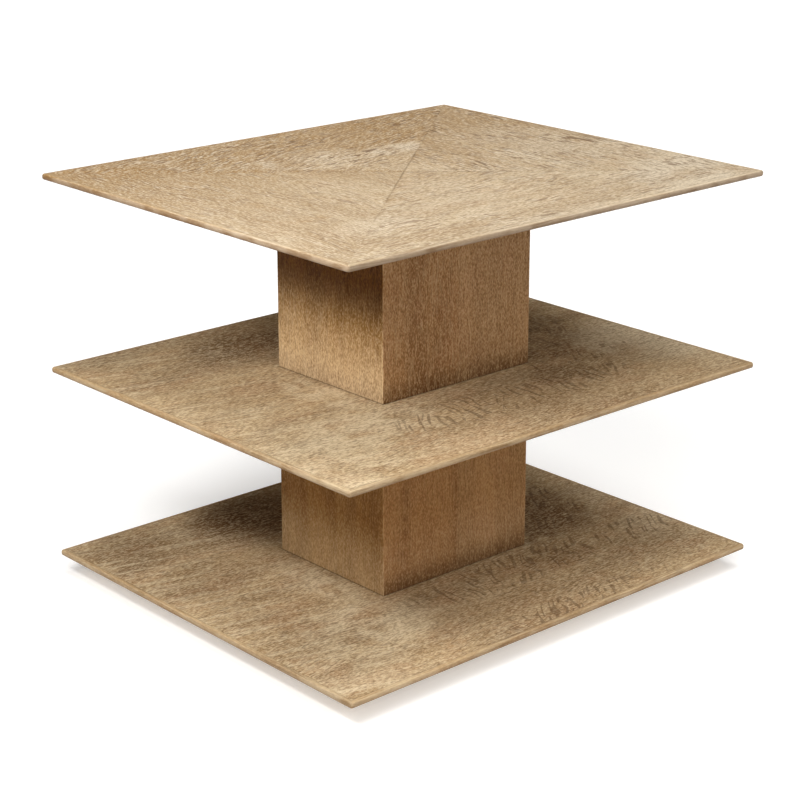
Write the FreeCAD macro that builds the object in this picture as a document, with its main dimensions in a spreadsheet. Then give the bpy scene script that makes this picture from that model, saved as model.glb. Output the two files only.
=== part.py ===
"""Tiered side table: three thin-edged oak tiers stacked on two hollow column segments.

Frame: millimetres, +Z up, +X along the long side of the tiers. The origin is the point of the
floor under the middle of the table.

Every sub-part is a body of this document, or a compound of leaves of veneer that lie side by
side, and its sizes are formulas of the sheet "Sizes". Each is drawn in a frame of its own and
then placed:
- a tier's pieces are drawn with the tier's top surface at height 0,
- a column segment's pieces are drawn with the segment's foot at height 0,
- a piece that repeats round the table is drawn at the front and turned to its own side.
"""

import FreeCAD
import Part
import Sketcher
import math
import os
import re

SIZES = [
    # tiers
    ("tier_length", 711, "long side of a tier, along X"),
    ("tier_depth", 610, "short side of a tier, along Y"),
    ("tier_thickness", 25, "a tier's full thickness, round the column"),
    ("edge_thickness", 8, "thickness of the slender edge"),
    ("bevel_width", 100, "width of the bevel under a tier, inside the lipping"),
    ("corner_radius", 4, "radius of a tier's corners, seen from above"),
    ("edge_round", 3.2, "rounding of the lipping's nose"),
    ("veneer", 0.8, "thickness of every veneer"),
    ("lipping_width", 6, "width of the solid lipping"),
    ("tongue_depth", 5, "how far the lipping's tongue enters the core"),
    ("tongue_thickness", 2.4, "thickness of that tongue"),
    ("tongue_clearance", 0.2, "play of a tongue or a spline in its groove"),
    # column segments
    ("column_width", 258, "column over its veneers, along X"),
    ("column_depth", 209, "column over its veneers, along Y"),
    ("column_height", 237, "height of one column segment"),
    ("arris_ease", 0.6, "width of the eased arrises of the column"),
    ("panel_thickness", 18, "thickness of a column panel"),
    ("spline_width", 14, "width of the loose tongue across a mitre"),
    ("spline_thickness", 3, "thickness of that loose tongue"),
    ("block_size", 30, "side of a square corner block"),
    ("plate_thickness", 15, "thickness of a segment's top and bottom plates"),
    ("plate_clearance", 0.3, "play of a plate between the panels"),
    # screws that hold the plates to the corner blocks
    ("plate_screw_radius", 2.2, "shank radius of a plate screw"),
    ("plate_screw_head", 4.4, "head radius of a plate screw"),
    ("plate_screw_length", 40, "length of a plate screw"),
    ("screw_clearance", 0.1, "play round a wood screw"),
    ("screw_sink", 0.5, "depth of a screw's head below its surface"),
    # tie rods and what holds them
    ("rod_radius", 4, "radius of a tie rod"),
    ("rod_spacing_x", 130, "distance between the tie rods along X"),
    ("rod_spacing_y", 80, "distance between the tie rods along Y"),
    ("rod_clearance", 0.5, "play of a tie rod in the wood"),
    ("rod_tail", 2, "length of rod that shows below its nut"),
    ("thread_clearance", 0.1, "play between a rod and its nut, washer or insert"),
    ("nut_width", 13, "nut, across its flats"),
    ("nut_height", 6.5, "height of a nut"),
    ("washer_radius", 11, "outer radius of a washer"),
    ("washer_thickness", 1.6, "thickness of a washer"),
    ("recess_clearance", 2, "play of a washer in its recess"),
    ("rod_cover", 1.9, "depth of a rod's end inside its recess"),
    ("insert_radius", 6, "outer radius of a threaded insert"),
    ("insert_length", 14, "length of a threaded insert"),
    ("insert_flange_radius", 8, "radius of the insert's flange"),
    ("insert_flange", 1.2, "thickness of the insert's flange"),
    ("insert_clearance", 0.1, "play of an insert in its hole"),
    # dowels between the column plates and the tiers
    ("dowel_radius", 5, "radius of a locating dowel"),
    ("dowel_length", 20, "length of a dowel, half of it on each side of a joint"),
    ("dowel_clearance", 0.2, "play round a dowel and past its ends"),
    ("dowel_spacing_x", 70, "distance between a joint's two dowels along X"),
    ("dowel_spacing_y", 110, "distance between a joint's two dowels along Y"),
    # glides under the bottom tier
    ("glide_radius", 15, "radius of a glide"),
    ("glide_height", 10, "height of a glide"),
    ("glide_chamfer", 1.5, "chamfer round a glide's foot"),
    ("glide_inset", 25, "distance from the bevel to a glide's centre"),
    ("glide_screw_radius", 2, "shank radius of a glide's screw"),
    ("glide_screw_head", 4, "head radius of a glide's screw"),
    ("glide_screw_length", 20, "length of a glide's screw"),
    ("glide_screw_sink", 4, "height of the screw's head above the floor"),
]

# Formulas that several pieces share.
FORMULAS = {
    "bottom_level": "glide_height + tier_thickness",
    "middle_level": "bottom_level + column_height + tier_thickness",
    "top_level": "middle_level + column_height + tier_thickness",
    "core_x": "tier_length/2 - lipping_width",
    "core_y": "tier_depth/2 - lipping_width",
    "flat_x": "core_x - bevel_width",
    "flat_y": "core_y - bevel_width",
    "panel_x": "column_width/2 - veneer",
    "panel_y": "column_depth/2 - veneer",
    "cavity_x": "panel_x - panel_thickness",
    "cavity_y": "panel_y - panel_thickness",
    "plate_x": "cavity_x - plate_clearance",
    "plate_y": "cavity_y - plate_clearance",
    "block_x": "cavity_x - block_size/2",
    "block_y": "cavity_y - block_size/2",
    "rod_x": "rod_spacing_x/2",
    "rod_y": "rod_spacing_y/2",
    "dowel_x": "dowel_spacing_x/2",
    "dowel_y": "dowel_spacing_y/2",
    "glide_x": "flat_x - glide_inset",
    "glide_y": "flat_y - glide_inset",
    "rod_hole": "rod_radius + rod_clearance",
    "recess_radius": "washer_radius + recess_clearance",
    "recess_depth": "washer_thickness + nut_height + rod_tail + rod_cover",
    "dowel_hole": "dowel_radius + dowel_clearance",
    "dowel_hole_depth": "dowel_length/2 + dowel_clearance",
    "plate_screw_hole": "plate_screw_radius + screw_clearance",
    "plate_head_hole": "plate_screw_head + screw_clearance",
    "plate_head_height": "plate_screw_head - plate_screw_radius",
    "glide_screw_hole": "glide_screw_radius + screw_clearance",
    "glide_head_hole": "glide_screw_head + screw_clearance",
    "glide_head_height": "glide_screw_head - glide_screw_radius",
}

SHELF_LEAVES = 4
CORNERS = [(1, 1), (-1, 1), (-1, -1), (1, -1)]
DIAGONAL = [(1, -1), (-1, 1)]
SIDES = {"front": 0, "right": 90, "back": 180, "left": 270}
UP = FreeCAD.Vector(0, 0, 1)

doc = FreeCAD.newDocument("TieredSideTable")
sheet = doc.addObject("Spreadsheet::Sheet", "Sizes")
for row, (alias, size, meaning) in enumerate(SIZES, start=1):
    sheet.set(f"A{row}", meaning)
    sheet.set(f"B{row}", str(size))
    sheet.setAlias(f"B{row}", alias)
doc.recompute()

ALIASES = {alias for alias, size, meaning in SIZES}
NODES = []


# ---------------------------------------------------------------- formulas

def formula(text):
    """Turn plain names into references to the sheet."""
    def refer(match):
        name = match.group(0)
        if name in FORMULAS:
            return f"({formula(FORMULAS[name])})"
        return f"Sizes.{name}" if name in ALIASES else name
    return re.sub(r"[a-z_]+", refer, str(text))


def value(text):
    """The number that a formula gives now."""
    number = sheet.evalExpression(formula(text))
    return float(getattr(number, "Value", number))


def at(sign, text):
    """A formula with a sign put before it."""
    return f"{sign}*({text})"


# ---------------------------------------------------------------- sketches

def new_body(label):
    """Start a sub-part. Its label names its file."""
    body = doc.addObject("PartDesign::Body", label)
    body.Label = label
    body.AllowCompound = True
    NODES.append(body)
    return body


def leaf_body(label):
    """Start a leaf of veneer that shares a node with others."""
    body = doc.addObject("PartDesign::Body", label)
    body.Label = label
    return body


def gather(label, leaves, height, angle=0):
    """Put leaves that touch but stay separate into one sub-part."""
    group = doc.addObject("Part::Compound", label)
    group.Label = label
    group.Links = leaves
    NODES.append(group)
    place(group, height, angle)


def place(part, height="0", angle=0):
    """Turn a finished sub-part about the table's axis and lift it."""
    part.Placement = FreeCAD.Placement(FreeCAD.Vector(0, 0, 0), FreeCAD.Rotation(UP, angle))
    part.setExpression("Placement.Base.z", formula(height))


def new_sketch(body, role="XY_Plane", height="0"):
    """A sketch on one of the body's origin planes, moved along that plane's normal."""
    sketch = body.newObject("Sketcher::SketchObject", f"{body.Name}_sketch")
    plane = [item for item in body.Origin.OriginFeatures if item.Role == role][0]
    sketch.AttachmentSupport = (plane, "")
    sketch.MapMode = "FlatFace"
    sketch.setExpression("AttachmentOffset.Base.z", formula(height))
    return sketch


def bind(sketch, kind, geometry, point, text):
    """Hold one coordinate of a point of the sketch at a formula."""
    number = value(text)
    index = sketch.addConstraint(Sketcher.Constraint(kind, -1, 1, geometry, point, number))
    sketch.setExpression(f"Constraints[{index}]", formula(text))


def add_polygon(sketch, points):
    """A closed outline of straight lines through points given as pairs of formulas."""
    first = sketch.GeometryCount
    corners = [FreeCAD.Vector(value(x), value(y), 0) for x, y in points]
    count = len(corners)
    for index in range(count):
        line = Part.LineSegment(corners[index], corners[(index + 1) % count])
        sketch.addGeometry(line, False)
    for index in range(count):
        following = first + (index + 1) % count
        sketch.addConstraint(Sketcher.Constraint("Coincident", first + index, 2, following, 1))
    for index, (x, y) in enumerate(points):
        bind(sketch, "DistanceX", first + index, 1, x)
        bind(sketch, "DistanceY", first + index, 1, y)


def add_rectangle(sketch, half_x, half_y, centre=("0", "0")):
    """A rectangle given by its half sizes and its centre."""
    corner_signs = [(-1, -1), (1, -1), (1, 1), (-1, 1)]
    add_polygon(sketch, [
        (f"{centre[0]} + {at(sign_x, half_x)}", f"{centre[1]} + {at(sign_y, half_y)}")
        for sign_x, sign_y in corner_signs
    ])


def add_circle(sketch, centre, radius):
    """A circle whose centre and radius are formulas."""
    middle = FreeCAD.Vector(value(centre[0]), value(centre[1]), 0)
    index = sketch.addGeometry(Part.Circle(middle, UP, value(radius)), False)
    bind(sketch, "DistanceX", index, 3, centre[0])
    bind(sketch, "DistanceY", index, 3, centre[1])
    size = sketch.addConstraint(Sketcher.Constraint("Radius", index, value(radius)))
    sketch.setExpression(f"Constraints[{size}]", formula(radius))


def add_hexagon(sketch, centre, width):
    """A hexagon given by its width across the flats."""
    reach = f"{width}/2"
    half_side = f"{width}/2/sqrt(3)"
    tip = f"{width}/sqrt(3)"
    corners = [
        (tip, "0"), (half_side, reach), (at(-1, half_side), reach),
        (at(-1, tip), "0"), (at(-1, half_side), at(-1, reach)), (half_side, at(-1, reach)),
    ]
    add_polygon(sketch, [(f"{centre[0]} + {x}", f"{centre[1]} + {y}") for x, y in corners])


# ---------------------------------------------------------------- features

def pad(body, sketch, length, taper=None):
    """Raise a sketch by a length."""
    feature = body.newObject("PartDesign::Pad", f"{body.Name}_pad")
    feature.Profile = sketch
    feature.setExpression("Length", formula(length))
    if taper is not None:
        feature.setExpression("TaperAngle", formula(taper))
    sketch.Visibility = False
    return feature


def pocket(body, sketch, depth, upward=False, taper=None):
    """Cut a sketch downwards, or upwards, to a depth."""
    feature = body.newObject("PartDesign::Pocket", f"{body.Name}_pocket")
    feature.Profile = sketch
    feature.Reversed = upward
    feature.setExpression("Length", formula(depth))
    if taper is not None:
        feature.setExpression("TaperAngle", formula(taper))
    sketch.Visibility = False
    return feature


def pad_circles(body, height, centres, radius, length, taper=None):
    """Round bars, one at each centre, standing on a height."""
    sketch = new_sketch(body, height=height)
    for centre in centres:
        add_circle(sketch, centre, radius)
    return pad(body, sketch, length, taper)


def drill(body, height, centres, radius, depth, upward=False, taper=None):
    """Round holes, one at each centre, sunk from a height."""
    sketch = new_sketch(body, height=height)
    for centre in centres:
        add_circle(sketch, centre, radius)
    return pocket(body, sketch, depth, upward, taper)


def centres_at(signs, x, y):
    """Points at plus or minus x and y."""
    return [(at(sign_x, x), at(sign_y, y)) for sign_x, sign_y in signs]


RODS = centres_at(CORNERS, "rod_x", "rod_y")
BLOCKS = centres_at(CORNERS, "block_x", "block_y")
GLIDES = centres_at(CORNERS, "glide_x", "glide_y")
DOWELS = centres_at(DIAGONAL, "dowel_x", "dowel_y")


# ---------------------------------------------------------------- tiers

def tier_core(label, level, from_below=True, from_above=True):
    """The core board: a flat slab with a shallow pyramid's slice under it and a groove all round."""
    body = new_body(label)
    rim_bottom = "-edge_thickness + veneer"
    rim = new_sketch(body, height=rim_bottom)
    add_rectangle(rim, "core_x", "core_y")
    pad(body, rim, "edge_thickness - 2*veneer")
    wide = new_sketch(body, height=rim_bottom)
    add_rectangle(wide, "core_x", "core_y")
    narrow = new_sketch(body, height="-tier_thickness + veneer")
    add_rectangle(narrow, "flat_x", "flat_y")
    belly = body.newObject("PartDesign::AdditiveLoft", f"{body.Name}_bevel")
    belly.Profile = wide
    belly.Sections = [narrow]
    belly.Ruled = True
    groove = new_sketch(body, height="-edge_thickness/2 + tongue_thickness/2 + tongue_clearance")
    add_rectangle(groove, "tier_length/2", "tier_depth/2")
    add_rectangle(groove, "core_x - tongue_depth - tongue_clearance",
                  "core_y - tongue_depth - tongue_clearance")
    pocket(body, groove, "tongue_thickness + 2*tongue_clearance")
    if from_below:
        drill(body, "-tier_thickness", DOWELS, "dowel_hole", "dowel_hole_depth", upward=True)
    if from_above:
        drill(body, "0", DOWELS, "dowel_hole", "dowel_hole_depth")
    place(body, level)
    return body


def lipping(label, level, length, depth, angle):
    """One mitred lipping: a rounded nose outside and a tongue inside."""
    body = new_body(label)
    outer_y = f"-{depth}/2"
    inner_y = f"{outer_y} + lipping_width"
    tongue_y = f"{inner_y} + tongue_depth"
    plan = new_sketch(body, height="-edge_thickness")
    add_lipping_plan(plan, length, outer_y)
    nose = pad(body, plan, "edge_thickness")
    doc.recompute()
    rounded = body.newObject("PartDesign::Fillet", f"{body.Name}_nose")
    rounded.Base = (nose, outer_edges(nose.Shape, value(outer_y), value(f"{length}/2")))
    rounded.setExpression("Radius", formula("edge_round"))
    tongue = new_sketch(body, height="-edge_thickness/2 - tongue_thickness/2")
    root_x = f"{length}/2 - lipping_width"
    tip_x = f"{root_x} - tongue_depth"
    add_polygon(tongue, [
        (at(-1, root_x), inner_y), (root_x, inner_y), (tip_x, tongue_y), (at(-1, tip_x), tongue_y),
    ])
    pad(body, tongue, "tongue_thickness")
    place(body, level, angle)


def add_lipping_plan(sketch, length, outer_y):
    """The lipping seen from above: mitred ends, and half of a round corner at each of them."""
    straight_x = f"{length}/2 - corner_radius"
    centre_y = f"{outer_y} + corner_radius"
    mitre_x = f"{straight_x} + corner_radius/sqrt(2)"
    mitre_y = f"{centre_y} - corner_radius/sqrt(2)"
    inner_x = f"{length}/2 - lipping_width"
    inner_y = f"{outer_y} + lipping_width"
    outline = [
        (at(-1, straight_x), outer_y), (straight_x, outer_y), (mitre_x, mitre_y),
        (inner_x, inner_y), (at(-1, inner_x), inner_y), (at(-1, mitre_x), mitre_y),
    ]
    spots = [FreeCAD.Vector(value(x), value(y), 0) for x, y in outline]
    radius = value("corner_radius")
    right_centre = FreeCAD.Vector(value(straight_x), value(centre_y), 0)
    left_centre = FreeCAD.Vector(-value(straight_x), value(centre_y), 0)
    front = -math.pi / 2
    right_arc = Part.ArcOfCircle(Part.Circle(right_centre, UP, radius), front, front + math.pi / 4)
    left_arc = Part.ArcOfCircle(Part.Circle(left_centre, UP, radius), front - math.pi / 4, front)
    pieces = [
        Part.LineSegment(spots[0], spots[1]), right_arc, Part.LineSegment(spots[2], spots[3]),
        Part.LineSegment(spots[3], spots[4]), Part.LineSegment(spots[4], spots[5]), left_arc,
    ]
    for piece in pieces:
        sketch.addGeometry(piece, False)
    for index in range(len(pieces)):
        following = (index + 1) % len(pieces)
        sketch.addConstraint(Sketcher.Constraint("Coincident", index, 2, following, 1))
    bind(sketch, "DistanceX", 0, 1, outline[0][0])
    bind(sketch, "DistanceY", 0, 1, outer_y)
    bind(sketch, "DistanceX", 0, 2, outline[1][0])
    bind(sketch, "DistanceY", 0, 2, outer_y)
    bind(sketch, "DistanceX", 2, 1, mitre_x)
    bind(sketch, "DistanceX", 1, 3, straight_x)
    bind(sketch, "DistanceY", 1, 3, centre_y)
    bind(sketch, "DistanceX", 4, 2, at(-1, mitre_x))
    bind(sketch, "DistanceX", 5, 3, at(-1, straight_x))
    bind(sketch, "DistanceY", 5, 3, centre_y)
    for index, (x, y) in ((3, outline[3]), (4, outline[4])):
        bind(sketch, "DistanceX", index, 1, x)
        bind(sketch, "DistanceY", index, 1, y)


def outer_edges(shape, outer_y, half_length):
    """Names of the nose's top and bottom edges: the long outer lines and the corner arcs."""
    names = []
    for index, edge in enumerate(shape.Edges, start=1):
        box = edge.BoundBox
        level = box.ZLength < 1e-6
        arc = edge.Curve.TypeId == "Part::GeomCircle"
        outer_line = abs(box.YMin - outer_y) < 1e-6 and abs(box.YMax - outer_y) < 1e-6
        if level and (arc or outer_line) and box.XMax <= half_length:
            names.append(f"Edge{index}")
    return names


def top_leaf(label, length, depth, angle):
    """One of the four triangular leaves of the top. Their tips meet at the middle."""
    body = new_body(label)
    sketch = new_sketch(body, height="-veneer")
    base_x = f"{length}/2 - lipping_width"
    base_y = f"-{depth}/2 + lipping_width"
    add_polygon(sketch, [(at(-1, base_x), base_y), (base_x, base_y), ("0", "0")])
    pad(body, sketch, "veneer")
    place(body, "top_level", angle)


def shelf_veneer(label, level):
    """Parallel leaves laid side by side along X, with the holes that pass through them."""
    share = f"core_y*2/{SHELF_LEAVES}"
    leaves = []
    for leaf in range(SHELF_LEAVES):
        body = leaf_body(f"{label}_leaf_{leaf + 1}")
        sketch = new_sketch(body, height="-veneer")
        middle = f"-core_y + {share}*{leaf + 0.5}"
        add_rectangle(sketch, "core_x", f"{share}/2", centre=("0", middle))
        pad(body, sketch, "veneer")
        for centres, radius in ((DOWELS, "dowel_hole"), (RODS, "rod_hole")):
            met = [centre for centre in centres if meets(centre, radius, middle, f"{share}/2")]
            if met:
                drill(body, "0", met, radius, "veneer")
        leaves.append(body)
    gather(label, leaves, level)


def meets(centre, radius, middle, half_width):
    """Whether a hole reaches into a leaf."""
    return abs(value(centre[1]) - value(middle)) < value(radius) + value(half_width)


def underside_veneer(label, level, holes):
    """The balancing veneer: one flat leaf and four bevel leaves, mitred together."""
    flat = leaf_body(f"{label}_flat")
    sketch = new_sketch(flat, height="-tier_thickness")
    add_rectangle(sketch, "flat_x", "flat_y")
    pad(flat, sketch, "veneer")
    for centres, radius in holes:
        drill(flat, "-tier_thickness", centres, radius, "veneer", upward=True)
    leaves = [flat]
    for side, (angle, length, depth) in side_sizes("core_x*2", "core_y*2").items():
        leaves.append(bevel_leaf(f"{label}_{side}", length, depth, angle))
    gather(label, leaves, level)


def bevel_leaf(label, length, depth, angle):
    """A leaf under one bevel: its section run along the side, then mitred at both ends."""
    body = leaf_body(label)
    section = new_sketch(body, role="YZ_Plane", height=at(-1, f"{length}/2"))
    outer = f"-{depth}/2"
    inner = f"{outer} + bevel_width"
    add_polygon(section, [
        (outer, "-edge_thickness"), (inner, "-tier_thickness"),
        (inner, "-tier_thickness + veneer"), (outer, "-edge_thickness + veneer"),
    ])
    pad(body, section, length)
    for sign in (-1, 1):
        mitre = new_sketch(body, height="0")
        add_polygon(mitre, [
            (at(sign, f"{length}/2"), outer), (at(sign, f"{length}/2"), inner),
            (at(sign, f"{length}/2 - bevel_width"), inner),
        ])
        pocket(body, mitre, "tier_thickness")
    body.Placement = FreeCAD.Placement(FreeCAD.Vector(0, 0, 0), FreeCAD.Rotation(UP, angle))
    return body


def side_sizes(length, depth):
    """For each side: its turn, its own length, and the distance across the table to its twin."""
    return {
        side: (angle, length, depth) if angle % 180 == 0 else (angle, depth, length)
        for side, angle in SIDES.items()
    }


def tier_lippings(tier, level):
    """The four lippings of a tier."""
    for side, (angle, length, depth) in side_sizes("tier_length", "tier_depth").items():
        lipping(f"{tier}_lipping_{side}", level, length, depth, angle)


def top_tier():
    """The top: no hole in its face, and inserts for the rods under it."""
    core = tier_core("top_core", "top_level", from_above=False)
    drill(core, "-tier_thickness", RODS, "insert_radius + insert_clearance",
          "insert_length + veneer + rod_tail", upward=True)
    drill(core, "-tier_thickness", RODS, "insert_flange_radius + insert_clearance",
          "insert_flange + veneer", upward=True)
    tier_lippings("top", "top_level")
    for side, (angle, length, depth) in side_sizes("tier_length", "tier_depth").items():
        top_leaf(f"top_veneer_{side}", length, depth, angle)
    underside_veneer("top_underside_veneer", "top_level", [
        (DOWELS, "dowel_hole"), (RODS, "insert_flange_radius + insert_clearance"),
    ])


def middle_tier():
    """The middle tier: the rods pass through it."""
    core = tier_core("middle_core", "middle_level")
    drill(core, "0", RODS, "rod_hole", "tier_thickness")
    tier_lippings("middle", "middle_level")
    shelf_veneer("middle_veneer", "middle_level")
    underside_veneer("middle_underside_veneer", "middle_level", [
        (DOWELS, "dowel_hole"), (RODS, "rod_hole"),
    ])


def bottom_tier():
    """The bottom tier: recesses for the nuts and pilot holes for the glides' screws."""
    core = tier_core("bottom_core", "bottom_level", from_below=False)
    drill(core, "0", RODS, "rod_hole", "tier_thickness")
    drill(core, "-tier_thickness", RODS, "recess_radius", "recess_depth", upward=True)
    drill(core, "-tier_thickness", GLIDES, "glide_screw_hole",
          "glide_screw_length + glide_screw_sink - glide_height + screw_clearance", upward=True)
    tier_lippings("bottom", "bottom_level")
    shelf_veneer("bottom_veneer", "bottom_level")
    underside_veneer("bottom_underside_veneer", "bottom_level", [
        (RODS, "recess_radius"), (GLIDES, "glide_screw_hole"),
    ])


# ---------------------------------------------------------------- column segments

def column_panel(label, level, length, depth, angle):
    """A panel mitred at both ends, with a groove for a spline in each mitre."""
    body = new_body(label)
    outer_y = f"-{depth}"
    inner_x = f"{length} - panel_thickness"
    inner_y = f"{outer_y} + panel_thickness"
    plan = new_sketch(body)
    add_polygon(plan, [
        (at(-1, length), outer_y), (length, outer_y), (inner_x, inner_y), (at(-1, inner_x), inner_y),
    ])
    pad(body, plan, "column_height")
    grooves = new_sketch(body)
    for sign in (-1, 1):
        add_spline_outline(grooves, (sign, -1), length, depth, "tongue_clearance")
    pocket(body, grooves, "column_height", upward=True)
    place(body, level, angle)


def add_spline_outline(sketch, signs, half_x, half_y, play):
    """A rectangle square across the mitre of one corner, with some play all round."""
    centre_x = f"{half_x} - panel_thickness/2"
    centre_y = f"{half_y} - panel_thickness/2"
    across = f"(spline_width/2 + {play})/sqrt(2)"
    along = f"(spline_thickness/2 + {play})/sqrt(2)"
    add_polygon(sketch, [
        (at(signs[0], f"{centre_x} + {at(far, across)} + {at(out, along)}"),
         at(signs[1], f"{centre_y} - {at(far, across)} + {at(out, along)}"))
        for far, out in ((-1, -1), (1, -1), (1, 1), (-1, 1))
    ])


def column_splines(label, level):
    """The four loose tongues, one in each mitre."""
    body = new_body(label)
    sketch = new_sketch(body)
    for signs in CORNERS:
        add_spline_outline(sketch, signs, "panel_x", "panel_y", "0")
    pad(body, sketch, "column_height")
    place(body, level)


def column_veneer(label, level, length, depth, angle):
    """Two book-matched leaves on one face of the column, mitred and eased at the arrises."""
    outer_y = f"-{depth}/2"
    inner_y = f"{outer_y} + veneer"
    leaves = []
    for hand, sign in (("left", -1), ("right", 1)):
        body = leaf_body(f"{label}_{hand}_leaf")
        sketch = new_sketch(body)
        add_polygon(sketch, [
            ("0", outer_y), (at(sign, f"{length}/2 - arris_ease"), outer_y),
            (at(sign, f"{length}/2 - arris_ease/2"), f"{outer_y} + arris_ease/2"),
            (at(sign, f"{length}/2 - veneer"), inner_y), ("0", inner_y),
        ])
        pad(body, sketch, "column_height")
        leaves.append(body)
    gather(label, leaves, level, angle)


def corner_blocks(label, level):
    """Four square blocks in the corners, with pilot holes in both ends for the plates' screws."""
    body = new_body(label)
    sketch = new_sketch(body, height="plate_thickness")
    for centre in BLOCKS:
        add_rectangle(sketch, "block_size/2", "block_size/2", centre)
    pad(body, sketch, "column_height - 2*plate_thickness")
    bite = "plate_screw_length + screw_sink - plate_thickness + screw_clearance"
    drill(body, "plate_thickness", BLOCKS, "plate_screw_hole", bite, upward=True)
    drill(body, "column_height - plate_thickness", BLOCKS, "plate_screw_hole", bite)
    place(body, level)


def end_plate(label, level, foot, faces_down):
    """A plate at one end of a segment, countersunk for its screws on its outer face."""
    body = new_body(label)
    sketch = new_sketch(body)
    add_rectangle(sketch, "plate_x", "plate_y")
    pad(body, sketch, "plate_thickness")
    face = "0" if faces_down else "plate_thickness"
    cone_face = "screw_sink" if faces_down else "plate_thickness - screw_sink"
    drill(body, face, RODS, "rod_hole", "plate_thickness", faces_down)
    drill(body, face, DOWELS, "dowel_hole", "dowel_hole_depth", faces_down)
    drill(body, face, BLOCKS, "plate_screw_hole", "plate_thickness", faces_down)
    drill(body, face, BLOCKS, "plate_head_hole", "screw_sink", faces_down)
    drill(body, cone_face, BLOCKS, "plate_head_hole", "plate_head_height", faces_down, taper="-45")
    place(body, f"{level} + {foot}")


def column_segment(name, level):
    """A mitred box with splines, corner blocks, two end plates and its face veneers."""
    for side, (angle, length, depth) in side_sizes("panel_x", "panel_y").items():
        column_panel(f"{name}_column_panel_{side}", level, length, depth, angle)
    for side, (angle, length, depth) in side_sizes("column_width", "column_depth").items():
        column_veneer(f"{name}_column_veneer_{side}", level, length, depth, angle)
    column_splines(f"{name}_column_splines", level)
    corner_blocks(f"{name}_corner_blocks", level)
    end_plate(f"{name}_column_bottom_plate", level, "0", faces_down=True)
    end_plate(f"{name}_column_top_plate", level, "column_height - plate_thickness", faces_down=False)
    plate_screws(f"{name}_plate_screws", level)


def plate_screws(label, level):
    """Eight countersunk screws of one segment, four in each end plate."""
    body = new_body(label)
    shank = "plate_screw_length - plate_head_height"
    top_head = "column_height - screw_sink - plate_head_height"
    pad_circles(body, "screw_sink + plate_head_height", BLOCKS, "plate_screw_radius", shank)
    pad_circles(body, "screw_sink", BLOCKS, "plate_screw_head", "plate_head_height", taper="-45")
    pad_circles(body, f"{top_head} - ({shank})", BLOCKS, "plate_screw_radius", shank)
    pad_circles(body, top_head, BLOCKS, "plate_screw_radius", "plate_head_height", taper="45")
    place(body, level)


# ---------------------------------------------------------------- hardware

def tie_rods():
    """Four rods from the recesses under the bottom tier up into the inserts of the top."""
    body = new_body("tie_rods")
    foot = "bottom_level - tier_thickness + rod_cover"
    tip = "top_level - tier_thickness + veneer + insert_length"
    pad_circles(body, foot, RODS, "rod_radius", f"{tip} - ({foot})")


def rod_nuts():
    """A nut on each rod, in its recess."""
    body = new_body("rod_nuts")
    face = "bottom_level - tier_thickness + recess_depth - washer_thickness"
    sketch = new_sketch(body, height=f"{face} - nut_height")
    for centre in RODS:
        add_hexagon(sketch, centre, "nut_width")
        add_circle(sketch, centre, "rod_radius + thread_clearance")
    pad(body, sketch, "nut_height")


def rod_washers():
    """A washer between each nut and the core."""
    body = new_body("rod_washers")
    face = "bottom_level - tier_thickness + recess_depth"
    sketch = new_sketch(body, height=f"{face} - washer_thickness")
    for centre in RODS:
        add_circle(sketch, centre, "washer_radius")
        add_circle(sketch, centre, "rod_radius + thread_clearance")
    pad(body, sketch, "washer_thickness")


def rod_inserts():
    """A flanged, threaded insert in the top's core for each rod."""
    body = new_body("rod_inserts")
    seat = "top_level - tier_thickness + veneer"
    sleeve = new_sketch(body, height=seat)
    flange = new_sketch(body, height=seat)
    for centre in RODS:
        add_circle(sleeve, centre, "insert_radius")
        add_circle(sleeve, centre, "rod_radius + thread_clearance")
        add_circle(flange, centre, "insert_flange_radius")
        add_circle(flange, centre, "rod_radius + thread_clearance")
    pad(body, sleeve, "insert_length")
    pad(body, flange, "insert_flange")


def locating_dowels():
    """Two dowels across each of the four joints between a tier and a column segment."""
    body = new_body("locating_dowels")
    joints = ["bottom_level", "middle_level - tier_thickness", "middle_level",
              "top_level - tier_thickness"]
    for joint in joints:
        pad_circles(body, f"{joint} - dowel_length/2", DOWELS, "dowel_radius", "dowel_length")


def glides():
    """Four round glides, chamfered at the foot and countersunk for their screws."""
    body = new_body("glides")
    discs = pad_circles(body, "0", GLIDES, "glide_radius", "glide_height")
    doc.recompute()
    chamfer = body.newObject("PartDesign::Chamfer", "glides_chamfer")
    chamfer.Base = (discs, foot_edges(discs.Shape))
    chamfer.setExpression("Size", formula("glide_chamfer"))
    drill(body, "0", GLIDES, "glide_head_hole", "glide_screw_sink", upward=True)
    drill(body, "glide_screw_sink", GLIDES, "glide_head_hole", "glide_head_height",
          upward=True, taper="-45")
    drill(body, "0", GLIDES, "glide_screw_hole", "glide_height", upward=True)


def foot_edges(shape):
    """Names of the round edges that lie on the floor."""
    return [
        f"Edge{index}" for index, edge in enumerate(shape.Edges, start=1)
        if abs(edge.BoundBox.ZMax) < 1e-6
    ]


def glide_screws():
    """A countersunk screw through each glide into the bottom tier's core."""
    body = new_body("glide_screws")
    neck = "glide_screw_sink + glide_head_height"
    pad_circles(body, neck, GLIDES, "glide_screw_radius", "glide_screw_length - glide_head_height")
    pad_circles(body, "glide_screw_sink", GLIDES, "glide_screw_head", "glide_head_height", taper="-45")


# ---------------------------------------------------------------- the table

top_tier()
middle_tier()
bottom_tier()
column_segment("upper", "middle_level")
column_segment("lower", "bottom_level")
tie_rods()
rod_nuts()
rod_washers()
rod_inserts()
locating_dowels()
glides()
glide_screws()
doc.recompute()

for item in doc.Objects:
    if "Invalid" in item.State or "Error" in item.State:
        raise RuntimeError(f"{item.Label} failed: {item.State}")
for node in NODES:
    if node.Shape.isNull() or not node.Shape.isValid():
        raise RuntimeError(f"{node.Label} has no valid shape")

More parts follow.
